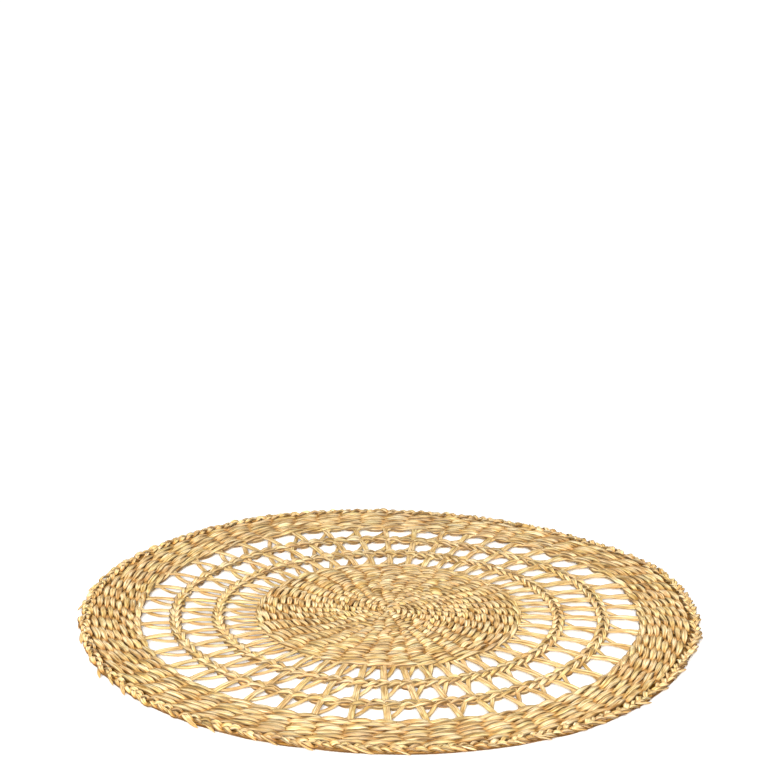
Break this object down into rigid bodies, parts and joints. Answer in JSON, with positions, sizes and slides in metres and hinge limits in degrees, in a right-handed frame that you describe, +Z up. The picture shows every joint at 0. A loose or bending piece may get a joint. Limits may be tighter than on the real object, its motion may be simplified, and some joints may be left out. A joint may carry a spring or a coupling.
{
  "type": "seagrass placemat",
  "caption": "Round flat openwork placemat twined from dried rush, with a close-woven disc, open zones of crossed stakes between braided rings, and a broad plaited edge.",
  "frame": {"origin": "middle of the mat's footprint, on the surface it lies on", "axes": "+Z up through the thickness; the mat lies flat in X and Y, with -Y towards the viewer"},
  "size_m": [0.3806, 0.3792, 0.006],
  "materials": {
    "seagrass": "dry, satin, finely creased straw"
  },
  "bodies": {
    "root": {"woven_mat": "seagrass"}
  },
  "joints": []
}
